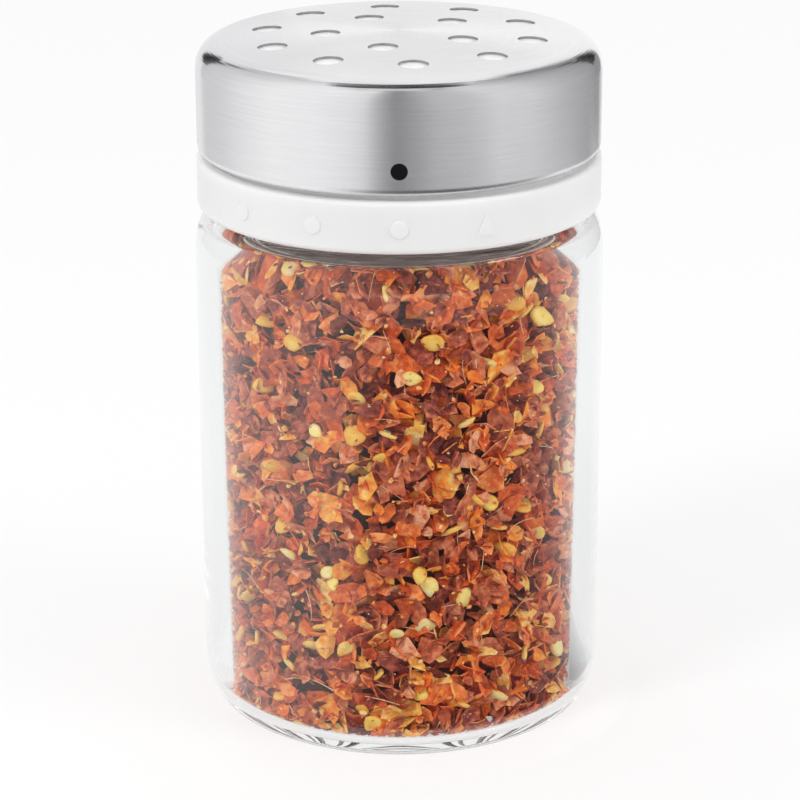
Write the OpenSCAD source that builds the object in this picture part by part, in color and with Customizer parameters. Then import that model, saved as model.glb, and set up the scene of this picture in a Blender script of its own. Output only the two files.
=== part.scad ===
// Spice shaker: a glass jar under a screw-on lid. The perforated steel cap turns on the lid's
// collar over a fixed sifter disc, and so closes the holes or opens fine or coarse ones.
// Millimetres, +Z up. The origin is the centre of the foot, and the front faces -Y.

/* [Jar] */
// Outside diameter of the jar
jar_d = 68; // [66:0.5:70]
// Thickness of the side wall
jar_wall = 3.8; // [3.2:0.1:4.4]
// Thickness of the floor over the foot ring
floor_t = 2.3; // [2:0.1:4]
// Height at which the shoulder starts to turn in
shoulder_z = 80.2; // [78:0.2:81]
// Diameter of the neck below its thread
neck_d = 56.4; // [55.6:0.2:56.8]
// Height of the rim
rim_z = 96.5; // [96.1:0.1:96.6]

/* [Filling] */
// Height of the filling
fill_z = 84; // [20:0.1:84]

/* [Collar] */
// Outside diameter of the collar
collar_d = 67; // [66.8:0.1:67.2]
// Height of the collar's lower edge
collar_z = 87.2; // [87:0.1:87.6]
// Height of the collar's roof
roof_z = 95.75; // [95.65:0.05:95.8]
// Turn of the cap from one mark to the next, in degrees
step_a = 24; // [24:1:24]
// Diameter of a raised dot
mark_d = 2.85; // [2:0.05:3.2]
// Height of a raised mark over the collar
mark_h = 0.22; // [0.1:0.02:0.3]

/* [Cap] */
// Outside diameter of the cap
cap_d = 66.7; // [66.5:0.1:66.8]
// Height of the middle of the cap's top
cap_z = 115.83; // [115.6:0.01:116]
// Height of the cap's lower edge
hem_z = 96.6; // [96.55:0.05:96.7]
// Thickness of the steel
sheet_t = 0.3; // [0.25:0.05:0.35]
// Radius of the bend between top and skirt
bend_r = 4.4; // [4:0.1:4.6]
// Radius of the shallow dome of the top
crown_r = 356; // [340:1:420]
// Diameter of the black pointer on the skirt
pointer_d = 2.7; // [2:0.1:3]
// Height of the pointer's centre
pointer_z = 100.7; // [100:0.1:102]
// Height of the marks' centres
marks_z = 91.4; // [91:0.1:92]

/* [Holes] */
// Diameter of a hole in the cap
hole_d = 4.9; // [4.5:0.1:4.9]
// Diameter of the circle of ten outer holes
outer_ring_d = 44.4; // [44:0.2:46]
// Diameter of the circle of five inner holes
inner_ring_d = 24; // [23:0.2:25]
// Angle from the pointer to the nearest outer hole
first_hole_a = 6; // [4:0.5:8]
// Diameter of a fine hole in the sifter disc
fine_d = 2.2; // [1.5:0.1:2.6]
// Diameter of a coarse hole in the sifter disc
coarse_d = 3.6; // [3:0.1:3.7]

/* [Hidden] */
$fn = 96;
front = -90;

// Jar
jar_r = jar_d / 2;
bore_r = jar_r - jar_wall;
heel_r = 14;
heel_a = 30;
toe_r = 2.5;
foot_r = jar_r - heel_r + (heel_r - toe_r) * cos(heel_a);
heel_z = toe_r + (heel_r - toe_r) * sin(heel_a);
punt_r = 24;
punt_h = 0.8;
floor_r = 3;
shoulder_r = 10.5;
shoulder_a = 30;
brow_r = 2.4;
land_z = shoulder_z + (shoulder_r - brow_r) * sin(shoulder_a) + brow_r;
neck_r = neck_d / 2;
neck_fillet = 1;
rim_r = 1.3;
mouth_r = neck_r - 2 * rim_r;
throat_r = 2;
corner_r = 0.8;
ceiling_z = shoulder_z + 4.1;

// Filling
fill_gap = 0.2;
brim_r = 2;
fill_top = min(fill_z, ceiling_z - fill_gap);
flake_w = 7.3;
flake_relief = 2.2;
flake_seed = 7;

// Collar and what turns on it
collar_r = collar_d / 2;
tower_r = 31;
tower_bore_r = 29.5;
tower_z = 87.9;
tower_top = 111;
skirt_t = 1.4;
roof_t = 1.4;
shelf_z = rim_z + 1.22;
shelf_t = 1.4;
shelf_r = 26.2;
snap_z = 105.4;
snap_r = 0.6;
groove_h = 2;
thrust_r = 31.6;
thrust_z = 96.5;
click_n = 360 / step_a;
click_r = 0.9;
click_depth = 0.4;
click_z = [98.6, 102.6];
stop_r = [31.55, 32.35];
stop_depth = 0.8;
stop_a = 8;
stop_play_a = 0.6;
turn_min = -2 * step_a;
turn_max = step_a;
stop_face_a = 90;

// Gasket
gasket_r = [25.9, 29.2];
gasket_gap = 0.02;

// Sifter disc
disc_gap = 0.1;
disc_t = 1.2;
spigot_r = [28.3, 29.4];
spigot_h = 1.8;
key_n = 3;
key_w = 2.8;
key_r = 30.1;

// Liner
liner_r = [31.25, cap_d / 2 - sheet_t - 0.02];
liner_top = 109.5;
foot_gap = 0.02;
liner_foot_z = hem_z + foot_gap;
liner_foot_r = 32.2;
tab_r = [31.75, 32.15];
tab_h = 0.55;
finger_n = 3;
finger_a = 13;
finger_z = [97.9, 103.4];
finger_t = 0.9;
slot_w = 0.8;
bump_gap = 0.05;

// Cap
cap_r = cap_d / 2;
hem_r = 1.4;
hem_a = 65;
hem_centre_z = hem_z + hem_r * sin(hem_a);
crown_c = cap_z - crown_r;
bend_c = [cap_r - bend_r, crown_c + sqrt(pow(crown_r - bend_r, 2) - pow(cap_r - bend_r, 2))];
bend_a = acos(bend_c[0] / (crown_r - bend_r));
pointer_depth = 0.12;
outer_n = 10;
inner_n = 5;
first_outer_a = front + first_hole_a;
first_inner_a = first_outer_a - 180 / outer_n;

// Points of a round stretch: centre, radius, first and last angle
function arc(c, r, a0, a1, n = 12) =
    [for (i = [0:n]) let (a = a0 + (a1 - a0) * i / n) [c[0] + r * cos(a), c[1] + r * sin(a)]];

// The dome and the bend of the cap, moved inwards by d, from the axis outwards to radius r_end
function dome(d, r_end, n = 16) =
    let (a_end = acos(min(1, (r_end - bend_c[0]) / (bend_r - d))))
    concat(arc([0, crown_c], crown_r - d, 90, bend_a, n),
           arc(bend_c, bend_r - d, bend_a, a_end, n));

// The dome alone, moved inwards by d, out to radius r_end
function crown(d, r_end, n = 16) =
    arc([0, crown_c], crown_r - d, 90, acos(r_end / (crown_r - d)), n);

function reversed(points) = [for (i = [len(points) - 1:-1:0]) points[i]];

// The outer holes of the cap, turned by a
module outer_holes(d, a) {
    for (i = [0:outer_n - 1]) rotate(first_outer_a + a + i * 360 / outer_n)
        translate([outer_ring_d / 2, 0, 0]) cylinder(h = cap_z + 5, d = d);
}

// The inner holes of the cap, turned by a
module inner_holes(d, a) {
    for (i = [0:inner_n - 1]) rotate(first_inner_a + a + i * 360 / inner_n)
        translate([inner_ring_d / 2, 0, 0]) cylinder(h = cap_z + 5, d = d);
}

// A ring about Z from radius r[0] to r[1] and from height z[0] to z[1]
module ring(r, z) {
    rotate_extrude() translate([r[0], z[0]]) square([r[1] - r[0], z[1] - z[0]]);
}

// The part of a ring that spans the angles a[0] to a[1]
module ring_part(r, z, a) {
    rotate([0, 0, a[0]]) rotate_extrude(angle = a[1] - a[0])
        translate([r[0], z[0]]) square([r[1] - r[0], z[1] - z[0]]);
}

// Turns what stands on the XY plane so that it points out of the front at angle a and height z
module facing(a, z) {
    rotate([0, 0, front + a]) translate([0, 0, z]) rotate([90, 0, 90]) children();
}

module jar() {
    heel_c = [jar_r - heel_r, heel_z];
    shoulder_c = [jar_r - shoulder_r, shoulder_z];
    brow_c = shoulder_c + (shoulder_r - brow_r) * [cos(shoulder_a), sin(shoulder_a)];
    color([0.86, 0.91, 0.93, 0.4]) rotate_extrude() polygon(concat(
        [[0, punt_h], [punt_r - 2, punt_h * 0.7], [punt_r, 0]],
        arc([foot_r, toe_r], toe_r, -90, -heel_a),
        arc(heel_c, heel_r, -heel_a, 0),
        arc(shoulder_c, shoulder_r, 0, shoulder_a),
        arc(brow_c, brow_r, shoulder_a, 90),
        arc([neck_r + neck_fillet, land_z + neck_fillet], neck_fillet, 270, 180, 6),
        arc([neck_r - rim_r, rim_z - rim_r], rim_r, 0, 180),
        arc([mouth_r + throat_r, ceiling_z + throat_r], throat_r, 180, 270, 8),
        arc([bore_r - corner_r, ceiling_z - corner_r], corner_r, 90, 0, 8),
        arc([bore_r - floor_r, floor_t + floor_r], floor_r, 0, -90, 8),
        [[0, floor_t]]));
}

// Dry flakes, loosely filled into the shoulder. Their skin lies slightly clear of the glass and
// is crumpled, with a hump for each large flake and hollows between them.
module chilli_fill() {
    r = bore_r - fill_gap;
    low = floor_t + fill_gap;
    foot = floor_r - fill_gap;
    wall_top = fill_top - brim_r;
    wall_h = wall_top - low - foot;
    around = 2 * round(2 * PI * r / flake_w);
    up = 2 * ceil(wall_h / flake_w);
    // rows of the skin from the floor up the wall and over the top: radius, height, how deep its
    // hollows may be, and the angle at which it faces
    rows = concat(
        [[r / 2, low, 0, -90]],
        [for (a = [-90:30:-30])
            [r - foot + foot * cos(a), low + foot + foot * sin(a), flake_relief / 3, a]],
        [for (i = [0:up]) [r, low + foot + wall_h * i / up, flake_relief, 0]],
        [for (a = [45:45:90])
            [r - brim_r + brim_r * cos(a), wall_top + brim_r * sin(a), flake_relief / 2, a]],
        [for (s = [r - brim_r - flake_w / 2:-flake_w / 2:flake_w / 2])
            [s, fill_top, flake_relief, 90]]);
    last = len(rows) - 1;
    depths = rands(0, 1, len(rows) * around, flake_seed);
    // each row is turned half a step against the one below it
    skin = [for (j = [0:last]) for (i = [0:around - 1])
        let (row = rows[j], face = row[3], depth = row[2] * depths[j * around + i],
             s = row[0] - depth * cos(face), a = (i + (j % 2) / 2) * 360 / around)
        [s * cos(a), s * sin(a), row[1] - depth * sin(face)]];
    function at(j, i) = 1 + j * around + i % around;
    function lower(j, i) = j % 2 == 0
        ? [at(j, i), at(j + 1, i), at(j, i + 1)]
        : [at(j, i), at(j + 1, i + 1), at(j, i + 1)];
    function upper(j, i) = j % 2 == 0
        ? [at(j, i + 1), at(j + 1, i), at(j + 1, i + 1)]
        : [at(j, i), at(j + 1, i), at(j + 1, i + 1)];
    color([0.66, 0.25, 0.13]) polyhedron(
        points = concat([[0, 0, low]], skin, [[0, 0, fill_top - flake_relief / 2]]),
        faces = concat(
            [for (i = [0:around - 1]) [0, at(0, i), at(0, i + 1)]],
            [for (j = [0:last - 1]) for (i = [0:around - 1]) lower(j, i)],
            [for (j = [0:last - 1]) for (i = [0:around - 1]) upper(j, i)],
            [for (i = [0:around - 1]) [len(skin) + 1, at(last, i + 1), at(last, i)]]));
}

module neck_gasket() {
    color([0.82, 0.84, 0.84]) ring(gasket_r, [rim_z + gasket_gap, shelf_z - gasket_gap]);
}

// The collar: a tower inside, a roof with a land that the cap rides on, and the skirt that shows
// and carries the marks
module collar_body() {
    edge_low = 1.05;
    edge_top = 0.7;
    rotate_extrude() polygon(concat(
        [[tower_bore_r, tower_z], [tower_r, tower_z], [tower_r, roof_z - roof_t],
         [collar_r - skirt_t, roof_z - roof_t], [collar_r - skirt_t, collar_z + 0.3],
         [collar_r - skirt_t + 0.3, collar_z]],
        arc([collar_r - edge_low, collar_z + edge_low], edge_low, -90, 0, 8),
        arc([collar_r - edge_top, roof_z - edge_top], edge_top, 0, 90, 6),
        [[thrust_r, roof_z], [thrust_r, thrust_z], [tower_r, thrust_z],
         [tower_r, tower_top], [tower_bore_r, tower_top],
         [tower_bore_r, shelf_z + shelf_t], [shelf_r, shelf_z + shelf_t],
         [shelf_r, shelf_z], [tower_bore_r, shelf_z]]));
}

// Three dots and a triangle, one click of the cap apart
module marks() {
    depth = 0.8;
    bevel = 0.12;
    for (i = [0:2]) facing((i - 2) * step_a, marks_z) translate([0, 0, collar_r - depth]) {
        cylinder(h = depth + mark_h - bevel, d = mark_d);
        translate([0, 0, depth + mark_h - bevel])
            cylinder(h = bevel, d1 = mark_d, d2 = mark_d - 2 * bevel);
    }
    facing(step_a, marks_z) translate([0, 0, collar_r - depth])
        linear_extrude(depth + mark_h) polygon([[-1.5, -1.6], [1.5, -1.6], [0, 1.85]]);
}

module collar() {
    color([0.93, 0.93, 0.93]) difference() {
        union() {
            collar_body();
            marks();
        }
        // groove that the liner's bead snaps into
        ring([tower_r - snap_r, tower_r + 1], [snap_z - groove_h / 2, snap_z + groove_h / 2]);
        // click track, one hollow for each step of a full turn
        for (i = [0:click_n - 1]) rotate(front + i * step_a)
            translate([tower_r + click_r - click_depth, 0, click_z[0]])
                cylinder(h = click_z[1] - click_z[0], r = click_r, $fn = 32);
        // track of the stop tab, at the back
        ring_part(stop_r, [roof_z - stop_depth, roof_z + 1],
                  [stop_face_a + turn_min - stop_a / 2 - stop_play_a,
                   stop_face_a + turn_max + stop_a / 2 + stop_play_a]);
        // seats for the keys of the sifter disc
        for (i = [0:key_n - 1]) rotate(front + i * 360 / key_n)
            translate([tower_bore_r - 1, -key_w / 2 - 0.1, tower_top - spigot_h - 0.1])
                cube([key_r - tower_bore_r + 1.1, key_w + 0.2, spigot_h + 1]);
    }
}

// A domed plate close under the steel. Its fine and coarse holes stand where the cap's holes come
// to lie one and two clicks from closed.
module sifter_disc() {
    color([0.96, 0.96, 0.95]) difference() {
        union() {
            rotate_extrude() polygon(concat(
                dome(sheet_t + disc_gap, tower_r),
                [[tower_r, tower_top], [spigot_r[1], tower_top],
                 [spigot_r[1], tower_top - spigot_h], [spigot_r[0], tower_top - spigot_h]],
                reversed(crown(sheet_t + disc_gap + disc_t, spigot_r[0]))));
            for (i = [0:key_n - 1]) rotate(front + i * 360 / key_n)
                translate([spigot_r[1] - 0.6, -key_w / 2, tower_top - spigot_h])
                    cube([key_r - spigot_r[1] + 0.6, key_w, spigot_h]);
        }
        outer_holes(fine_d, -step_a);
        inner_holes(fine_d, -step_a);
        outer_holes(coarse_d, -2 * step_a);
        inner_holes(coarse_d, -2 * step_a);
    }
}

// White ring held in the steel skirt by its curled hem. It carries the snap bead, the click
// fingers and the stop tab.
module cap_liner() {
    finger_mid_z = (click_z[0] + click_z[1]) / 2;
    color([0.88, 0.88, 0.88]) {
        difference() {
            union() {
                rotate_extrude() polygon([
                    [liner_r[0], liner_foot_z], [liner_foot_r, liner_foot_z],
                    [liner_r[1], hem_centre_z + 0.1], [liner_r[1], liner_top],
                    [liner_r[0], liner_top]]);
                rotate_extrude() intersection() {
                    translate([liner_r[0], snap_z]) circle(r = snap_r, $fn = 32);
                    translate([liner_r[0] - 1, snap_z - 1]) square([1.4, 2]);
                }
                ring_part(tab_r, [roof_z - tab_h, liner_foot_z + 0.4],
                          [stop_face_a - stop_a / 2, stop_face_a + stop_a / 2]);
            }
            for (i = [0:finger_n - 1]) rotate(front + i * 360 / finger_n) {
                for (s = [-1, 1]) rotate(s * finger_a / 2)
                    translate([liner_r[0] - 1, -slot_w / 2, finger_z[0]])
                        cube([4, slot_w, finger_z[1] - finger_z[0]]);
                ring_part([liner_r[0] - 1, liner_r[1] + 1], [finger_z[0], finger_z[0] + slot_w],
                          [-finger_a / 2, finger_a / 2]);
                ring_part([liner_r[0] + finger_t, liner_r[1] + 1], [finger_z[0], finger_z[1]],
                          [-finger_a / 2, finger_a / 2]);
            }
        }
        for (i = [0:finger_n - 1]) rotate(front + i * 360 / finger_n)
            translate([tower_r + bump_gap + click_r - 0.1, 0, finger_mid_z - 1])
                cylinder(h = 2, r = click_r - 0.1, $fn = 32);
    }
}

module cap_shell() {
    color([0.78, 0.78, 0.79]) difference() {
        rotate_extrude() polygon(concat(
            dome(0, cap_r),
            arc([cap_r - hem_r, hem_centre_z], hem_r, 0, -hem_a, 8),
            arc([cap_r - hem_r, hem_centre_z], hem_r - sheet_t, -hem_a, 0, 8),
            reversed(dome(sheet_t, cap_r - sheet_t))));
        outer_holes(hole_d, 0);
        inner_holes(hole_d, 0);
        facing(0, pointer_z) translate([0, 0, cap_r - pointer_depth])
            cylinder(h = 2, d = pointer_d);
    }
}

// Black enamel that fills its recess in the skirt
module pointer_dot() {
    color([0.07, 0.07, 0.07]) facing(0, pointer_z)
        translate([0, 0, cap_r - pointer_depth]) cylinder(h = pointer_depth, d = pointer_d);
}

jar();
chilli_fill();
neck_gasket();
collar();
sifter_disc();
cap_liner();
cap_shell();
pointer_dot();
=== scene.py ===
"""Looks of the spice shaker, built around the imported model. Metres, +Z up, front towards -Y."""

import math
import random

import bmesh
import bpy
from mathutils import Matrix, Vector


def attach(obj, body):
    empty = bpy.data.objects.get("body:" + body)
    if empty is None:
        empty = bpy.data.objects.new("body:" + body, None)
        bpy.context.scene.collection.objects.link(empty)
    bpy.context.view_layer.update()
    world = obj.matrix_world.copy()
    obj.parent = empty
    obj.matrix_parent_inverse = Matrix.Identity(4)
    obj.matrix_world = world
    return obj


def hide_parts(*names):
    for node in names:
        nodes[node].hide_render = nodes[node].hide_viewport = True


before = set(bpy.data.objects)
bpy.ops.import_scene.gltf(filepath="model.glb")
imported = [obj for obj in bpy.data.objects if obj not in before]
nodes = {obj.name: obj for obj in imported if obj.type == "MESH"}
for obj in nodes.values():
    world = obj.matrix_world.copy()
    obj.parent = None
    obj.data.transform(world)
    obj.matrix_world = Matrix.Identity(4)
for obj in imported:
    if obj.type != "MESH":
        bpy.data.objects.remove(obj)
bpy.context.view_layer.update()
MM = 0.001
CENTRE = (0, 0, 0)
UP = (0, 0, 1)

# Outline of the glass, in millimetres, as the model has it
JAR_R = 34.0
PUNT_R = 24.0
PUNT_H = 0.8
FOOT_R = 29.96
TOE = 2.5
HEEL = 14.0
HEEL_Z = 8.25
SHOULDER = 10.5
SHOULDER_Z = 80.2
BROW_R = 30.515
BROW_Z = 84.25
LAND_Z = 86.65
NECK_R = 28.2
NECK_FILLET = 1.0
RIM = 1.3
RIM_Z = 96.5
MOUTH_R = 25.6
THROAT = 2.0
CEILING_Z = 84.3
CORNER = 0.8
BORE_R = 30.2
FLOOR_Z = 2.3
FLOOR_FILLET = 3.0

# Level of the filling, its rounded upper edge, and the gap it keeps to the glass
FILL_Z = 83.9
BRIM = 2.0
GLASS_GAP = 0.3

# Heights on the steel cap, in metres: its bend from end to end, and the foot of the top's holes
BEND_Z = (0.1106, 0.1147)
HOLES_Z = 0.1144


# Nodes and colours

def srgb(code):
    """A hex colour as linear RGBA."""
    parts = [int(code[i:i + 2], 16) / 255 for i in (0, 2, 4)]
    return [c / 12.92 if c <= 0.04045 else ((c + 0.055) / 1.055) ** 2.4 for c in parts] + [1.0]


def add(tree, kind, inputs=None, **settings):
    """One more node, with its settings, its values and its links."""
    node = tree.nodes.new(kind)
    for name, value in settings.items():
        setattr(node, name, value)
    for name, value in (inputs or {}).items():
        if isinstance(value, bpy.types.NodeSocket):
            tree.links.new(value, node.inputs[name])
        else:
            node.inputs[name].default_value = value
    return node


def new_material(name):
    mat = bpy.data.materials.new(name)
    mat.use_nodes = True
    mat.node_tree.nodes.clear()
    return mat, mat.node_tree


def finish_material(tree, shader):
    add(tree, "ShaderNodeOutputMaterial", {"Surface": shader.outputs[0]})


def place(tree):
    return add(tree, "ShaderNodeTexCoord").outputs["Object"]


def axes_of(tree, vector):
    return add(tree, "ShaderNodeSeparateXYZ", {"Vector": vector}).outputs


def noise_at(tree, size_mm, detail=2.0, vector=None):
    """Noise whose patches are size_mm across."""
    return add(tree, "ShaderNodeTexNoise", {
        "Vector": vector or place(tree), "Scale": 1000 / size_mm, "Detail": detail,
    }).outputs["Fac"]


def ramp(tree, factor, stops):
    node = add(tree, "ShaderNodeValToRGB", {"Fac": factor})
    elements = node.color_ramp.elements
    while len(elements) < len(stops):
        elements.new(0.5)
    for element, (position, code) in zip(elements, stops):
        element.position = position
        element.color = srgb(code)
    return node.outputs["Color"]


def spread(tree, factor, low, high):
    """The noise's middle range stretched to low and high, with no limit that would draw a line."""
    return add(tree, "ShaderNodeMapRange", {
        "Value": factor, "From Min": 0.3, "From Max": 0.7, "To Min": low, "To Max": high,
    }, clamp=False).outputs["Result"]


def calc(tree, operation, first, second=0.0, clamp=False):
    return add(tree, "ShaderNodeMath", {0: first, 1: second}, operation=operation,
               use_clamp=clamp).outputs[0]


def bump(tree, height, depth_mm, strength=1.0):
    return add(tree, "ShaderNodeBump", {
        "Height": height, "Distance": depth_mm * MM, "Strength": strength,
    }).outputs["Normal"]


def band(tree, value, low, high, fade):
    """1 between low and high, 0 outside, with soft ends."""
    rise = add(tree, "ShaderNodeMapRange", {
        "Value": value, "From Min": low - fade, "From Max": low + fade}).outputs["Result"]
    fall = add(tree, "ShaderNodeMapRange", {
        "Value": value, "From Min": high - fade, "From Max": high + fade,
        "To Min": 1.0, "To Max": 0.0}).outputs["Result"]
    return calc(tree, "MULTIPLY", rise, fall)


def tinted(tree, factor, colour, code):
    """colour turned to the hex colour by factor."""
    return add(tree, "ShaderNodeMix", {"Factor": factor, "A": colour, "B": srgb(code)},
               data_type="RGBA").outputs["Result"]


def mixed(tree, factor, first, second):
    return add(tree, "ShaderNodeMixShader", {
        "Fac": factor, 1: first.outputs[0], 2: second.outputs[0]})


# Materials

def moulded_glass():
    """Soda-lime glass, blown in a mould: clear, with very slow waves in its surface. Light on its
    way to what is behind it passes straight through."""
    mat, tree = new_material("soda_lime_glass")
    waves = bump(tree, noise_at(tree, 16.0, 1.0), 0.04, 0.3)
    solid = add(tree, "ShaderNodeBsdfPrincipled", {
        "Base Color": srgb("F0F2F2"), "Roughness": 0.0, "IOR": 1.52,
        "Transmission Weight": 1.0, "Normal": waves,
    })
    clear = add(tree, "ShaderNodeBsdfTransparent", {"Color": srgb("FFFFFF")})
    rays = add(tree, "ShaderNodeLightPath").outputs
    lighting = calc(tree, "MAXIMUM", rays["Is Shadow Ray"], rays["Is Diffuse Ray"])
    finish_material(tree, mixed(tree, lighting, solid, clear))
    return mat


def moulded_plastic(name, code, dark):
    """Injection-moulded polypropylene: near white, soft sheen, lets some light through its thin
    walls, and has a faint orange-peel skin."""
    mat, tree = new_material(name)
    colour = ramp(tree, noise_at(tree, 9.0), [(0.3, dark), (0.7, code)])
    finish_material(tree, add(tree, "ShaderNodeBsdfPrincipled", {
        "Base Color": colour, "Roughness": spread(tree, noise_at(tree, 3.0), 0.30, 0.38),
        "IOR": 1.49, "Subsurface Weight": 0.6, "Subsurface Scale": 1.0,
        "Subsurface Radius": (0.003, 0.003, 0.003),
        "Normal": bump(tree, noise_at(tree, 0.5), 0.004, 0.4),
    }))
    return mat


def brushed_steel():
    """Drawn stainless steel, brushed around the axis: light runs across the grooves, so that it
    shows as upright bands on the skirt, with fine level lines. The press has burnished the bend.
    The hole walls are a darker grey: dull sheared metal, and painted shade at each far edge."""
    mat, tree = new_material("stainless_steel_brushed")
    axes = axes_of(tree, place(tree))
    flat = add(tree, "ShaderNodeCombineXYZ", {"X": axes["X"], "Y": axes["Y"]}).outputs[0]
    radius = add(tree, "ShaderNodeVectorMath", {0: flat}, operation="LENGTH").outputs["Value"]
    # A whole radian counts as little as 1.2 mm, so that each line runs far round the cap
    around = calc(tree, "MULTIPLY", calc(tree, "ARCTAN2", axes["Y"], axes["X"]), 1.2 * MM)
    groove = add(tree, "ShaderNodeCombineXYZ", {"X": around, "Y": radius, "Z": axes["Z"]})
    # The real grit is near 0.1 mm; 0.35 mm lines are the finest that show
    lines = noise_at(tree, 0.35, 3.0, groove.outputs[0])
    bend = band(tree, axes["Z"], *BEND_Z, 0.4 * MM)
    rough = calc(tree, "SUBTRACT", spread(tree, noise_at(tree, 7.0), 0.25, 0.29),
                 calc(tree, "MULTIPLY", bend, 0.12))
    # Above the bend only the wall of a hole stands upright
    normal = add(tree, "ShaderNodeNewGeometry").outputs["True Normal"]
    upright = calc(tree, "LESS_THAN", calc(tree, "ABSOLUTE", axes_of(tree, normal)["Z"]), 0.2)
    # Darker grey on the hole walls: dull sheared metal, and painted shade at each hole's far edge
    punched_dull_and_shade = calc(tree, "MULTIPLY", upright, calc(tree, "GREATER_THAN", axes["Z"], HOLES_Z))
    satin = ramp(tree, lines, [(0.3, "E8E8E9"), (0.7, "EDEDEE")])
    finish_material(tree, add(tree, "ShaderNodeBsdfPrincipled", {
        "Base Color": tinted(tree, punched_dull_and_shade, satin, "B0B0B2"), "Metallic": 1.0, "Roughness": rough,
        "Anisotropic": 0.8, "Anisotropic Rotation": 0.25,
        "Tangent": add(tree, "ShaderNodeTangent", direction_type="RADIAL", axis="Z").outputs[0],
        "Normal": bump(tree, lines, 0.003, 0.2),
    }))
    return mat


def silicone():
    """Moulded silicone rubber: milky, soft and matt."""
    mat, tree = new_material("silicone_rubber")
    finish_material(tree, add(tree, "ShaderNodeBsdfPrincipled", {
        "Base Color": ramp(tree, noise_at(tree, 4.0), [(0.2, "DDE0E0"), (0.8, "EAECEC")]),
        "Roughness": 0.55, "IOR": 1.41, "Subsurface Weight": 0.3, "Subsurface Scale": 1.0,
        "Subsurface Radius": (0.002, 0.002, 0.002),
        "Normal": bump(tree, noise_at(tree, 0.4), 0.01, 0.4),
    }))
    return mat


def enamel():
    """Pad-printed enamel: black, smooth, slightly uneven in tone."""
    mat, tree = new_material("black_enamel")
    finish_material(tree, add(tree, "ShaderNodeBsdfPrincipled", {
        "Base Color": ramp(tree, noise_at(tree, 0.6), [(0.2, "060606"), (0.8, "0C0C0C")]),
        "Roughness": 0.5, "Specular IOR Level": 0.2,
        "Normal": bump(tree, noise_at(tree, 0.3), 0.004, 0.4),
    }))
    return mat


def toned(tree, mottle, stops):
    """The tone of the chip, mottled, as a colour."""
    tone = add(tree, "ShaderNodeAttribute", attribute_name="tone").outputs["Fac"]
    return ramp(tree, calc(tree, "ADD", tone, mottle, clamp=True), stops)


def rim_share(tree, power, most):
    """0 in the middle of the chip, up to most at its rim; a high power keeps it near the rim."""
    rim = add(tree, "ShaderNodeAttribute", attribute_name="rim").outputs["Fac"]
    return calc(tree, "MULTIPLY", calc(tree, "POWER", rim, power, clamp=True), most)


def chilli_skin(name, stops, rim_highlight):
    """Dried chilli skin: each flake has its own tone, mottled and creased, with a waxy gloss. Near
    its rim the colour turns lighter, a painted highlight along the thin edge."""
    mat, tree = new_material(name)
    skin = toned(tree, spread(tree, noise_at(tree, 1.1, 5.0), -0.42, 0.42), stops)
    creases = noise_at(tree, 0.8, 5.0)
    finish_material(tree, add(tree, "ShaderNodeBsdfPrincipled", {
        # Lighter towards the rim: a painted highlight along the chip's thin edge
        "Base Color": tinted(tree, rim_share(tree, 5.0, 0.9), skin, rim_highlight),
        "Roughness": spread(tree, creases, 0.34, 0.55),
        "Specular IOR Level": 0.22, "Subsurface Weight": 0.15, "Subsurface Scale": 1.0,
        "Subsurface Radius": (0.0012, 0.0004, 0.0002),
        "Normal": bump(tree, creases, 0.30, 0.9),
    }))
    return mat


def seed_husk():
    """Dried chilli seed: pale straw in the middle, golden towards its raised rim, matt."""
    mat, tree = new_material("chilli_seed_husk")
    husk = toned(tree, spread(tree, noise_at(tree, 1.6, 3.0), -0.2, 0.2), [
        (0.0, "E8A640"), (0.4, "FCD05E"), (0.8, "FFEA8E"), (1.0, "FFF4B8")])
    finish_material(tree, add(tree, "ShaderNodeBsdfPrincipled", {
        "Base Color": tinted(tree, rim_share(tree, 4.0, 0.6), husk, "E39A3C"), "Roughness": 0.5,
        "Subsurface Weight": 0.2, "Subsurface Scale": 1.0,
        "Subsurface Radius": (0.001, 0.0007, 0.0003),
        "Normal": bump(tree, noise_at(tree, 0.45, 3.0), 0.06, 0.6),
    }))
    return mat


def dress(node, mat):
    nodes[node].data.materials.clear()
    nodes[node].data.materials.append(mat)


glass = moulded_glass()
dress("jar", glass)
white = moulded_plastic("polypropylene_white", "E5E5E5", "E3E3E3")
dress("collar", white)
# The disc is the collar's white polypropylene painted lighter: painted light where it lies shaded
# under the holes
dress("sifter_disc", moulded_plastic("polypropylene_disc_painted_light", "F8F8F8", "F6F6F6"))
# The liner is the collar's white polypropylene painted lighter: painted light on its lip in the
# shade under the steel
dress("cap_liner", moulded_plastic("polypropylene_liner_painted_light", "ECECED", "E9E9EA"))
dress("cap_shell", brushed_steel())
dress("neck_gasket", silicone())
dress("pointer_dot", enamel())


# Pieces

def as_mesh(bm, name):
    mesh = bpy.data.meshes.new(name)
    bm.normal_update()
    bm.to_mesh(mesh)
    bm.free()
    return mesh


def put_in_scene(thing):
    bpy.context.scene.collection.objects.link(thing)


def add_piece(name, mesh, mat, body, smooth=True):
    mesh.polygons.foreach_set("use_smooth", [smooth] * len(mesh.polygons))
    mesh.materials.append(mat)
    piece = bpy.data.objects.new(name, mesh)
    put_in_scene(piece)
    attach(piece, body)
    return piece


def merge_doubles(bm):
    bmesh.ops.remove_doubles(bm, verts=bm.verts[:], dist=1e-6)


def arc(bm, last, centre, degrees, steps):
    """Carries the outline on from its last vertex, round the centre (radius, height)."""
    made = bmesh.ops.spin(bm, geom=[last], cent=(centre[0] * MM, 0, centre[1] * MM),
                          axis=(0, -1, 0), angle=math.radians(degrees), steps=steps)
    return [g for g in made["geom_last"] if isinstance(g, bmesh.types.BMVert)][0]


def line(bm, last, radius, height):
    """Carries the outline straight on from its last vertex."""
    vert = bm.verts.new((radius * MM, 0, height * MM))
    bm.edges.new((last, vert))
    return vert


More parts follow.
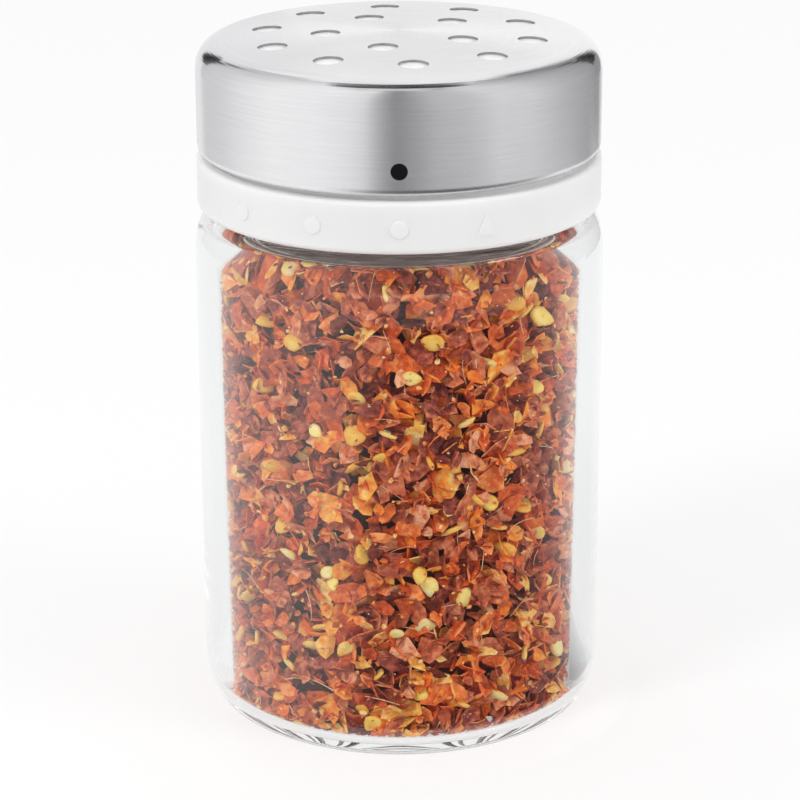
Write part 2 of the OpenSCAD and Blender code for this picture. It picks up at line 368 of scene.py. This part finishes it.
def glass_wall():
    """The jar again, in finer steps than the model's, so that what shines through it is smooth.
    Its outline runs from the punt round the outside to the rim, and back inside to the floor."""
    bm = bmesh.new()
    v = bm.verts.new((0, 0, PUNT_H * MM))
    v = line(bm, v, PUNT_R - 2, PUNT_H * 0.7)
    v = line(bm, v, PUNT_R, 0)
    v = line(bm, v, FOOT_R, 0)
    v = arc(bm, v, (FOOT_R, TOE), 60, 10)
    v = arc(bm, v, (JAR_R - HEEL, HEEL_Z), 30, 16)
    v = line(bm, v, JAR_R, SHOULDER_Z)
    v = arc(bm, v, (JAR_R - SHOULDER, SHOULDER_Z), 30, 14)
    v = arc(bm, v, (BROW_R, BROW_Z), 60, 10)
    v = line(bm, v, NECK_R + NECK_FILLET, LAND_Z)
    v = arc(bm, v, (NECK_R + NECK_FILLET, LAND_Z + NECK_FILLET), -90, 6)
    v = line(bm, v, NECK_R, RIM_Z - RIM)
    v = arc(bm, v, (NECK_R - RIM, RIM_Z - RIM), 180, 12)
    v = line(bm, v, MOUTH_R, CEILING_Z + THROAT)
    v = arc(bm, v, (MOUTH_R + THROAT, CEILING_Z + THROAT), 90, 8)
    v = line(bm, v, BORE_R - CORNER, CEILING_Z)
    v = arc(bm, v, (BORE_R - CORNER, CEILING_Z - CORNER), -90, 10)
    v = line(bm, v, BORE_R, FLOOR_Z + FLOOR_FILLET)
    v = arc(bm, v, (BORE_R - FLOOR_FILLET, FLOOR_Z + FLOOR_FILLET), -90, 10)
    line(bm, v, 0, FLOOR_Z)
    merge_doubles(bm)
    bmesh.ops.spin(bm, geom=bm.verts[:] + bm.edges[:], cent=CENTRE, axis=UP, angle=2 * math.pi,
                   steps=192, use_merge=True)
    merge_doubles(bm)
    bmesh.ops.recalc_face_normals(bm, faces=bm.faces[:])
    wall = add_piece("glass_wall", as_mesh(bm, "glass_wall"), glass, "jar")
    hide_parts("jar")


glass_wall()


# Filling: small forms about 1 unit in radius, scattered by rule. Each form marks its rim, and each
# copy gets its own tone

def chip_mesh(bm, name):
    mesh = as_mesh(bm, name)
    mesh.attributes.new("tone", "FLOAT", "FACE")
    return mesh


def flake_form(rng):
    """A torn chip of skin: ragged, folded along one line and crumpled."""
    bm = bmesh.new()
    rim = bm.verts.layers.float.new("rim")
    bmesh.ops.create_circle(bm, cap_ends=True, segments=rng.choice((7, 8, 9)), radius=1.0)
    stretch = rng.uniform(1.0, 2.2)
    for vert in bm.verts:
        vert.co *= rng.uniform(0.62, 1.15)
        vert.co.x *= stretch
        vert[rim] = 1.0
    inset = bmesh.ops.inset_region(bm, faces=bm.faces[:], thickness=0.30, use_even_offset=True)
    middle = [f for f in bm.faces if f not in inset["faces"]]
    for vert in {v for f in middle for v in f.verts}:
        vert[rim] = 0.0
    bmesh.ops.poke(bm, faces=middle)
    curl = rng.uniform(-0.30, 0.30)
    fold = rng.uniform(-0.55, 0.55)
    heading = rng.uniform(0, math.pi)
    for vert in bm.verts:
        x, y = vert.co.x, vert.co.y
        across = x * math.sin(heading) + y * math.cos(heading)
        crumple = rng.uniform(-0.09, 0.09)
        vert.co.z = curl * x * x + fold * abs(across - 0.1) + crumple
    bmesh.ops.solidify(bm, geom=bm.faces[:], thickness=0.07)
    bmesh.ops.recalc_face_normals(bm, faces=bm.faces[:])
    return chip_mesh(bm, "flake_form")


def seed_form(rng):
    """A flat seed: a rounded drop or kidney with a raised rim round a shallow dish."""
    bm = bmesh.new()
    rim = bm.verts.layers.float.new("rim")
    bmesh.ops.create_uvsphere(bm, u_segments=12, v_segments=8, radius=1.0)
    point = rng.uniform(0.0, 0.35)
    kidney = rng.uniform(0.0, 0.35)
    for vert in bm.verts:
        x, y = vert.co.x, vert.co.y
        reach = math.hypot(x, y)
        vert[rim] = reach
        vert.co.x = x * 1.08 + point * max(0.0, x) ** 3
        vert.co.y = y * (1.0 - 0.3 * max(0.0, x)) + kidney * x * x
        vert.co.z *= 0.18 + 0.22 * reach
    bmesh.ops.recalc_face_normals(bm, faces=bm.faces[:])
    return chip_mesh(bm, "seed_form")


def fibre_form(rng):
    """A thin curved shred, 2 units long."""
    bm = bmesh.new()
    bm.verts.layers.float.new("rim")
    bmesh.ops.create_cone(bm, cap_ends=True, segments=5, radius1=0.035, radius2=0.02, depth=2.0)
    for height in (-0.5, 0.0, 0.5):
        bmesh.ops.bisect_plane(bm, geom=bm.verts[:] + bm.edges[:] + bm.faces[:],
                               plane_co=(0, 0, height), plane_no=UP)
    bend = rng.uniform(0.1, 0.5)
    for vert in bm.verts:
        vert.co.x += bend * (1 - vert.co.z ** 2)
    bmesh.ops.rotate(bm, verts=bm.verts[:], matrix=Matrix.Rotation(math.pi / 2, 3, "Y"))
    return chip_mesh(bm, "fibre_form")


def crumb_form(rng):
    """A small angular bit."""
    bm = bmesh.new()
    bm.verts.layers.float.new("rim")
    bmesh.ops.create_icosphere(bm, subdivisions=1, radius=1.0)
    for vert in bm.verts:
        vert.co *= rng.uniform(0.6, 1.2)
        vert.co.z *= 0.5
    return chip_mesh(bm, "crumb_form")


def fill_radius(z):
    """Radius the filling may reach at height z, in millimetres: the glass, rounded off on top."""
    if z < FLOOR_Z + FLOOR_FILLET:
        drop = min(FLOOR_FILLET, FLOOR_Z + FLOOR_FILLET - z)
        return BORE_R - FLOOR_FILLET + math.sqrt(FLOOR_FILLET ** 2 - drop ** 2)
    rise = min(BRIM, max(0.0, z - (FILL_Z - BRIM)))
    return BORE_R - BRIM + math.sqrt(BRIM ** 2 - rise ** 2)


def settle(mesh, matrix):
    """Moves a placed chip inwards until it is clear of the glass and below the fill's level."""
    corners = [matrix @ vert.co for vert in mesh.vertices]
    low, high = min(p.z for p in corners), max(p.z for p in corners)
    lift = max(0.0, FLOOR_Z + GLASS_GAP - low) - max(0.0, high - FILL_Z)
    over = max(math.hypot(p.x, p.y) + GLASS_GAP - fill_radius(p.z + lift) for p in corners)
    out = Vector((matrix.translation.x, matrix.translation.y, 0))
    if out.length > 1e-6:
        out.normalize()
    return Matrix.Translation(Vector((0, 0, lift)) - out * max(0.0, over)) @ matrix


def scatter(name, forms, placed, mat, smooth):
    """One piece made of many small forms. placed holds (form number, matrix in mm, tone)."""
    bm = bmesh.new()
    for index, matrix, tone in placed:
        copy = forms[index].copy()
        copy.transform(Matrix.Scale(MM, 4) @ settle(copy, matrix))
        copy.attributes["tone"].data.foreach_set("value", [tone] * len(copy.polygons))
        bm.from_mesh(copy)
        bpy.data.meshes.remove(copy)
    mesh = bpy.data.meshes.new(name)
    bm.to_mesh(mesh)
    bm.free()
    return add_piece(name, mesh, mat, "jar", smooth)


def tumbled(rng, lean):
    """A random turn in the chip's own plane, and a lean of lean radians or so out of it."""
    spin = Matrix.Rotation(rng.uniform(0, 2 * math.pi), 4, "Z")
    nod = Matrix.Rotation(rng.gauss(0, lean), 4, "X")
    return nod @ Matrix.Rotation(rng.gauss(0, lean), 4, "Y") @ spin


def against_wall(rng, depth, angle, z, size, lean):
    """Matrix of a chip that lies roughly flat behind the glass, depth mm in."""
    radius = BORE_R - depth
    face_out = Matrix.Rotation(angle, 4, "Z") @ Matrix.Rotation(math.pi / 2, 4, "Y")
    where = Vector((radius * math.cos(angle), radius * math.sin(angle), z))
    return Matrix.Translation(where) @ face_out @ tumbled(rng, lean) @ Matrix.Scale(size, 4)


def lying(rng, x, y, z, size, lean):
    """Matrix of a chip that lies roughly level."""
    return Matrix.Translation((x, y, z)) @ tumbled(rng, lean) @ Matrix.Scale(size, 4)


def wall_grid(rng, depth, step):
    """Angles and heights of evenly spread, shuffled places step mm apart, depth mm in."""
    around = round(2 * math.pi * (BORE_R - depth) / step)
    up = round((FILL_Z - FLOOR_Z) / step)
    for i in range(around):
        for j in range(up + 1):
            yield ((i + rng.uniform(0, 1)) * 2 * math.pi / around,
                   FLOOR_Z + (j + rng.uniform(-0.5, 0.5)) * (FILL_Z - FLOOR_Z) / up)


def disc_spots(rng, inset, count):
    """Places on a level disc, inset mm smaller than the bore, spread as in a sunflower."""
    for i in range(count):
        r = (BORE_R - inset) * math.sqrt((i + 0.5) / count)
        a = i * math.pi * (3 - math.sqrt(5)) + rng.uniform(-0.2, 0.2)
        yield r * math.cos(a), r * math.sin(a)


# Kinds of flake: name, share, colour of the painted highlight on the rim, colours of the skin from
# dark to light
SKIN_KINDS = [
    ("red", 0.30, "FFA050",
     [(0.0, "BA4A24"), (0.35, "E2602C"), (0.7, "F47C3C"), (1.0, "FFA260")]),
    ("brick", 0.26, "FFA05A",
     [(0.0, "A44A32"), (0.35, "CA6644"), (0.7, "E6885E"), (1.0, "FBB288")]),
    ("dark", 0.24, "FF8C4E",
     [(0.0, "5A2622"), (0.4, "8C3E32"), (0.75, "BC5E46"), (1.0, "DE885E")]),
    ("orange", 0.22, "FFCC6C",
     [(0.0, "F06E24"), (0.35, "FF9238"), (0.7, "FFB44F"), (1.0, "FFD588")]),
]

# All lengths below are in millimetres. A size is the smallest and the largest, with the most
# frequent one where a third follows

# Layers of flakes behind the glass: depth, distance between places, and largest flake
WALL_LAYERS = [(0.35, 3.0, 2.7), (1.3, 2.9, 2.9), (2.8, 3.3, 3.1)]
SMALLEST_FLAKE, USUAL_FLAKE = 0.6, 1.3
# Level layers on the floor and under the top
LEVEL_LAYERS = [FLOOR_Z + 0.8, FLOOR_Z + 2.2, FILL_Z - 0.9, FILL_Z - 2.2]
LEVEL_FLAKES, LEVEL_FLAKE_SIZE = 330, (0.9, 3.0, 1.6)
# What lies nearest to the glass: depth, distance between places, share of them taken up, and size
SEED_DEPTH, SEED_STEP, SEED_SHARE, SEED_SIZE = 0.6, 6.4, 0.58, (1.1, 1.9)
FIBRE_DEPTH, FIBRE_STEP, FIBRE_SHARE, FIBRE_SIZE = 0.4, 7.0, 0.6, (1.2, 3.0)
CRUMB_DEPTH, CRUMB_STEP, CRUMB_SIZE = 0.35, 3.2, (0.2, 0.75, 0.3)
DUST_DEPTH, DUST_STEP, DUST_SIZE = 0.32, 5.2, (0.06, 0.13)
TOP_SEEDS, TOP_SEED_SIZE = 46, (1.2, 1.9)
# How much further in a flake lies behind a seed
TUCK = 1.6
# The dark core's radius, and how far it ends below the top and above the floor
CORE_R = 25.6
CORE_INSET = 2.5


def lay_seeds(rng, count):
    """Places of the seeds, and (angle, z, size) of those behind the glass."""
    placed, spots = [], []
    for angle, z in wall_grid(rng, SEED_DEPTH, SEED_STEP):
        if rng.random() < SEED_SHARE:
            size = rng.uniform(*SEED_SIZE)
            spots.append((angle, z, size))
            placed.append((rng.randrange(count), against_wall(
                rng, SEED_DEPTH, angle, z, size, lean=0.7), rng.uniform(0.1, 0.95)))
    for x, y in disc_spots(rng, 3.0, TOP_SEEDS):
        placed.append((rng.randrange(count), lying(
            rng, x, y, FILL_Z - SEED_DEPTH, rng.uniform(*TOP_SEED_SIZE), lean=0.3),
            rng.uniform(0.2, 0.95)))
    return placed, spots


def behind_seeds(spots, angle, z, size):
    """How far a flake at that place moves in, so that a seed on the glass stays in front."""
    for seed_angle, seed_z, seed_size in spots:
        turn = (angle - seed_angle + math.pi) % (2 * math.pi) - math.pi
        touching = 0.7 * seed_size + 0.55 * size
        if math.hypot(turn * BORE_R, z - seed_z) < touching:
            return TUCK
    return 0.0


def lay_flakes(rng, count, spots):
    """Places of the flakes of each kind, by its name."""
    placed = {kind[0]: [] for kind in SKIN_KINDS}
    shares = [kind[1] for kind in SKIN_KINDS]

    def drop(matrix):
        kind = rng.choices(list(placed), shares)[0]
        placed[kind].append((rng.randrange(count), matrix, rng.uniform(0.05, 0.95)))

    for depth, step, largest in WALL_LAYERS:
        for angle, z in wall_grid(rng, depth, step):
            size = rng.triangular(SMALLEST_FLAKE, largest, USUAL_FLAKE)
            inward = depth + behind_seeds(spots, angle, z, size)
            drop(against_wall(rng, inward, angle, z, size, lean=0.6))
    for z in LEVEL_LAYERS:
        for x, y in disc_spots(rng, 2.2, LEVEL_FLAKES):
            drop(lying(rng, x, y, z, rng.triangular(*LEVEL_FLAKE_SIZE), lean=0.35))
    return placed


def lay_fibres(rng, count):
    placed = []
    for angle, z in wall_grid(rng, FIBRE_DEPTH, FIBRE_STEP):
        if rng.random() < FIBRE_SHARE:
            placed.append((rng.randrange(count), against_wall(
                rng, FIBRE_DEPTH, angle, z, rng.uniform(*FIBRE_SIZE), lean=0.3),
                rng.uniform(0.3, 1.0)))
    return placed


def lay_crumbs(rng, count):
    return [(rng.randrange(count), against_wall(
        rng, CRUMB_DEPTH, angle, z, rng.triangular(*CRUMB_SIZE), lean=0.6), rng.random())
            for angle, z in wall_grid(rng, CRUMB_DEPTH, CRUMB_STEP)]


def lay_dust(rng, count):
    return [(rng.randrange(count), against_wall(
        rng, DUST_DEPTH, angle, z, rng.uniform(*DUST_SIZE), lean=0.6), 1.0)
            for angle, z in wall_grid(rng, DUST_DEPTH, DUST_STEP)]


def dark_core():
    """The mass behind the outer layers, which only fills what is seen between the chips."""
    bm = bmesh.new()
    bm.verts.layers.float.new("rim")
    bmesh.ops.create_cone(bm, cap_ends=True, segments=64, radius1=CORE_R * MM,
                          radius2=CORE_R * MM, depth=(FILL_Z - FLOOR_Z - 2 * CORE_INSET) * MM,
                          matrix=Matrix.Translation((0, 0, (FILL_Z + FLOOR_Z) / 2 * MM)))
    # Its dark colour is painted shade: the shade deep in the gaps between the chips
    mat = chilli_skin("chilli_core_painted_shade", [(0.0, "6A3024"), (1.0, "9A5038")], "9A5038")
    add_piece("chilli_core", as_mesh(bm, "chilli_core"), mat, "jar", False)


def fill_jar():
    rng = random.Random(20)
    flakes = [flake_form(rng) for _ in range(16)]
    seeds = [seed_form(rng) for _ in range(6)]
    fibres = [fibre_form(rng) for _ in range(4)]
    crumbs = [crumb_form(rng) for _ in range(4)]

    seed_places, seed_spots = lay_seeds(rng, len(seeds))
    flake_places = lay_flakes(rng, len(flakes), seed_spots)
    fibre_places = lay_fibres(rng, len(fibres))
    crumb_places = lay_crumbs(rng, len(crumbs))
    dust_places = lay_dust(rng, len(crumbs))

    made = [scatter("chilli_flakes_" + name, flakes, flake_places[name],
                    chilli_skin("chilli_skin_" + name, stops, rim_highlight), False)
            for name, _, rim_highlight, stops in SKIN_KINDS]
    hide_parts("chilli_fill")
    scatter("chilli_seeds", seeds, seed_places, seed_husk(), True)
    scatter("chilli_fibres", fibres, fibre_places, chilli_skin("chilli_fibre", [
        (0.0, "D08E58"), (0.5, "E8B987"), (1.0, "F4DCBC")], "F4DCBC"), True)
    scatter("chilli_crumbs", crumbs, crumb_places, chilli_skin("chilli_crumb", [
        (0.0, "94382A"), (0.4, "D0623A"), (0.75, "EC9C50"), (1.0, "F5D08C")], "F5D08C"), False)
    scatter("chilli_dust", crumbs, dust_places, chilli_skin("chilli_dust", [
        (0.0, "F3E4D0"), (1.0, "FCF6EE")], "FCF6EE"), False)
    dark_core()


fill_jar()


# Threads of the neck and the collar, in millimetres: the lead, and a ridge's half width at its
# root and near its crest, and how far its corners are sunk or rounded
THREAD_STARTS = 2
LEAD = 7.0
RIDGE_ROOT = 0.85
RIDGE_CREST = 0.3
RIDGE_SINK = 0.15
# Share of a ridge's length in which an end runs out, and share of its height that is left there
RUN_OUT = 0.08
END_HEIGHT = 0.05
# A little over the whole length, so that rounding doesn't flatten the last ring
THREAD_END = 1.02


def taper(run):
    """Share of its full height that a ridge has at run, which is 0 where it starts and 1 at its
    end."""
    if run >= THREAD_END:
        return END_HEIGHT
    ending = max(0.0, min(1.0, run / RUN_OUT, (THREAD_END - run) / RUN_OUT))
    return END_HEIGHT + (1 - END_HEIGHT) * math.sin(ending * math.pi / 2) ** 2


def thread(name, root_r, crest_r, foot_z, turns, mat, body):
    """Rounded screw ridges from root_r to crest_r, in millimetres, both ends running out."""
    bm = bmesh.new()
    side = 1 if crest_r > root_r else -1
    sink = side * RIDGE_SINK
    steps = round(turns * 60)
    length = turns * 2 * math.pi
    for start in range(THREAD_STARTS):
        before = set(bm.verts)
        begin = start * 2 * math.pi / THREAD_STARTS
        profile = [(root_r - sink, -RIDGE_ROOT), (root_r, -RIDGE_ROOT),
                   (crest_r - sink, -RIDGE_CREST), (crest_r, 0.0), (crest_r - sink, RIDGE_CREST),
                   (root_r, RIDGE_ROOT), (root_r - sink, RIDGE_ROOT)]
        ring = [bm.verts.new((r * MM, 0, (foot_z + z) * MM)) for r, z in profile]
        face = bm.faces.new(ring)
        bmesh.ops.rotate(bm, verts=ring, cent=CENTRE, matrix=Matrix.Rotation(begin, 3, "Z"))
        bmesh.ops.spin(bm, geom=[face] + list(face.edges) + ring, cent=CENTRE, axis=UP,
                       dvec=(0, 0, LEAD * turns * MM / steps), angle=length, steps=steps,
                       use_merge=False, use_duplicate=False)
        for vert in set(bm.verts) - before:
            run = (math.atan2(vert.co.y, vert.co.x) - begin) % (2 * math.pi) / length
            reach = math.hypot(vert.co.x, vert.co.y)
            relief = (reach - root_r * MM) * side
            if relief > 0:
                scale = (root_r * MM + side * relief * taper(run)) / reach
                vert.co.x *= scale
                vert.co.y *= scale
    merge_doubles(bm)
    bmesh.ops.recalc_face_normals(bm, faces=bm.faces[:])
    add_piece(name, as_mesh(bm, name), mat, body)


thread("neck_thread", root_r=NECK_R, crest_r=29.2, foot_z=89.3, turns=0.62,
       mat=glass, body="jar")
thread("collar_thread", root_r=29.5, crest_r=28.5, foot_z=91.1, turns=0.45,
       mat=white, body="lid")


# Studio. Azimuth 0 is the front, and the angles grow to the right

def reflector(name, bm, code):
    """A card that only shows in gloss, as a flag beside a table does."""
    mat, tree = new_material(name)
    finish_material(tree, add(tree, "ShaderNodeEmission", {"Color": srgb(code)}))
    card = bpy.data.objects.new(name, as_mesh(bm, name))
    card.data.materials.append(mat)
    put_in_scene(card)
    card.visible_camera = False
    card.visible_diffuse = False
    card.visible_transmission = False
    card.visible_shadow = False
    return card


def swept(corners, azimuths, steps):
    """The line between two corners (radius, height) carried round the object."""
    bm = bmesh.new()
    first, last = (math.radians(a) for a in azimuths)
    ends = [bm.verts.new((r * math.sin(first), -r * math.cos(first), z)) for r, z in corners]
    edge = bm.edges.new(ends)
    bmesh.ops.spin(bm, geom=[edge] + ends, cent=CENTRE, axis=UP, angle=last - first, steps=steps)
    return bm


def upright_card(name, azimuths, radius, heights, code):
    reflector(name, swept([(radius, z) for z in heights], azimuths, 16), code)


def shaded_card(name, corners, steps, stops):
    """A card whose grey changes from left to right. stops holds (azimuth, colour)."""
    left, right = stops[0][0], stops[-1][0]
    card = reflector(name, swept(corners, (left, right), steps), "FFFFFF")
    tree = card.data.materials[0].node_tree
    axes = axes_of(tree, place(tree))
    azimuth = calc(tree, "ARCTAN2", axes["X"], calc(tree, "MULTIPLY", axes["Y"], -1.0))
    factor = add(tree, "ShaderNodeMapRange", {
        "Value": azimuth, "From Min": math.radians(left), "From Max": math.radians(right),
    }).outputs["Result"]
    grey = ramp(tree, factor, [((a - left) / (right - left), code) for a, code in stops])
    tree.links.new(grey, tree.nodes["Emission"].inputs["Color"])
    return card


def surround(radius, heights, stops):
    shaded_card("surround", [(radius, z) for z in heights], 64, stops)


def table_card(radii, stops):
    """Lies just over the table. It shows in the inside of the glass too, or the filling would look
    misty."""
    card = shaded_card("flag_table", [(r, 0.5 * MM) for r in radii], 24, stops)
    card.visible_transmission = True


def overhead_card(width, depth, height, shift, code):
    """Level, over the object, shift metres along Y."""
    bm = bmesh.new()
    bmesh.ops.create_grid(bm, x_segments=1, y_segments=1, size=width / 2,
                          matrix=Matrix.Translation((0, shift, height))
                          @ Matrix.Diagonal((1, depth / width, 1, 1)))
    reflector("flag_overhead", bm, code)


MIDDLE_Z = 0.06


def lamp(name, azimuth, elevation, distance, size, watts):
    """A round lamp that points at the middle of the object and doesn't show in gloss."""
    light = bpy.data.lights.new(name, "AREA")
    light.shape = "DISK"
    light.size = size
    light.energy = watts
    lamp_object = bpy.data.objects.new(name, light)
    a, e = math.radians(azimuth), math.radians(elevation)
    spot = Vector((math.sin(a) * math.cos(e), -math.cos(a) * math.cos(e), math.sin(e))) * distance
    lamp_object.location = spot + Vector((0, 0, MIDDLE_Z))
    lamp_object.rotation_euler = (-spot).to_track_quat("-Z", "Y").to_euler()
    lamp_object.visible_glossy = False
    put_in_scene(lamp_object)


def seen_white(tree):
    """1 where a ray goes straight, off gloss or through glass to the background."""
    rays = add(tree, "ShaderNodeLightPath").outputs
    direct = calc(tree, "MAXIMUM", rays["Is Camera Ray"], rays["Is Glossy Ray"])
    return calc(tree, "MAXIMUM", direct, rays["Is Transmission Ray"])


def table(white_share):
    """White acrylic table top: pale, with a weak mirror image and a soft shadow. white_share of
    what is seen of it is plain white."""
    bm = bmesh.new()
    bmesh.ops.create_grid(bm, x_segments=1, y_segments=1, size=3.0)
    mat, tree = new_material("white_acrylic_table")
    share = calc(tree, "MULTIPLY", seen_white(tree), white_share)
    lit = add(tree, "ShaderNodeBsdfPrincipled", {
        "Base Color": srgb("F6F6F6"), "Roughness": 0.18, "Specular IOR Level": 0.35})
    white_light = add(tree, "ShaderNodeEmission", {"Color": (1, 1, 1, 1), "Strength": 1.0})
    finish_material(tree, mixed(tree, share, lit, white_light))
    plane = bpy.data.objects.new("table", as_mesh(bm, "table"))
    plane.data.materials.append(mat)
    put_in_scene(plane)


def room(level):
    """A world that is seen as white and lights the object at the given level."""
    world = bpy.data.worlds.new("studio")
    world.use_nodes = True
    tree = world.node_tree
    tree.nodes.clear()
    strength = add(tree, "ShaderNodeMapRange", {
        "Value": seen_white(tree), "To Min": level, "To Max": 1.0}).outputs["Result"]
    back = add(tree, "ShaderNodeBackground", {"Color": (1, 1, 1, 1), "Strength": strength})
    add(tree, "ShaderNodeOutputWorld", {"Surface": back.outputs[0]})
    bpy.context.scene.world = world


table(white_share=0.7)
room(level=0.72)
lamp("key", azimuth=-50, elevation=44, distance=1.1, size=0.28, watts=4.9)
lamp("fill", azimuth=68, elevation=25, distance=1.1, size=0.5, watts=4.2)

# What the steel and the glass mirror: a shaded card round the front for the skirt, flags and cards
# behind for the bend and the top, strips that draw the cap's edges, and the table's dark middle
surround(radius=0.075, heights=(0.074, 0.29), stops=[
    (-121, "D2D2D3"), (-94, "E0E0E1"), (-76, "F3F3F4"), (-60, "FFFFFF"), (-36, "FCFCFD"),
    (-21, "F2F2F3"), (-15, "E8E8E9"), (-10.5, "C6C6C8"), (-6, "AAAAAC"), (-2, "949497"),
    (2, "9C9C9F"), (7, "AAAAAC"), (16, "C2C2C4"), (30, "CCCCCE"), (45, "E2E2E3"),
    (62, "DEDEDF"), (83, "C2C2C4"), (100, "B2B2B4"), (118, "9E9EA0")])
upright_card("flag_right_back", (118.0, 150.0), 0.21, (0.042, 0.40), "98989A")
upright_card("card_left_back", (-172.0, -135.0), 0.21, (0.042, 0.30), "F0F0F1")
upright_card("edge_left_back", (-148.0, -122.0), 0.20, (0.128, 0.205), "202021")
upright_card("edge_right_back", (128.0, 146.0), 0.20, (0.128, 0.205), "2A2A2B")
upright_card("edge_left", (-123.0, -117.0), 0.074, (0.120, 0.250), "4C4C4D")
upright_card("edge_right", (117.0, 123.0), 0.074, (0.120, 0.250), "4C4C4D")
table_card(radii=(0.040, 0.36), stops=[
    (-100, "FFFFFF"), (-50, "FFFFFF"), (-40, "F2F2F3"), (-28, "CECECF"), (-14, "7E7E7F"),
    (0, "585859"), (44, "545455"), (62, "6E6E6F"), (80, "A0A0A1"), (100, "E4E4E5")])
overhead_card(width=1.0, depth=0.16, height=0.52, shift=-0.01, code="1A1A1B")


# Camera: metres and degrees. The lens and the sensor are in millimetres

CAMERA_DISTANCE = 0.48265
CAMERA_HEIGHT = 0.21949
CAMERA_PITCH = 19.155
CAMERA_ROLL = 0.214
LENS = 135.0
SENSOR = 36.0

camera_data = bpy.data.cameras.new("camera")
camera_data.lens = LENS
camera_data.sensor_width = SENSOR
camera_data.clip_start = 0.01
camera = bpy.data.objects.new("camera", camera_data)
camera.matrix_world = (Matrix.Translation((0, -CAMERA_DISTANCE, CAMERA_HEIGHT))
                       @ Matrix.Rotation(math.radians(90 - CAMERA_PITCH), 4, "X")
                       @ Matrix.Rotation(math.radians(-CAMERA_ROLL), 4, "Z"))
put_in_scene(camera)
bpy.context.scene.camera = camera
bpy.context.scene.view_settings.view_transform = "Standard"

# Thick glass passes light on inside itself many times before it leaves
limits = bpy.context.scene.cycles
limits.max_bounces = 400
limits.glossy_bounces = 300
limits.transmission_bounces = 300
limits.transparent_max_bounces = 64
limits.diffuse_bounces = 24

bpy.context.view_layer.update()
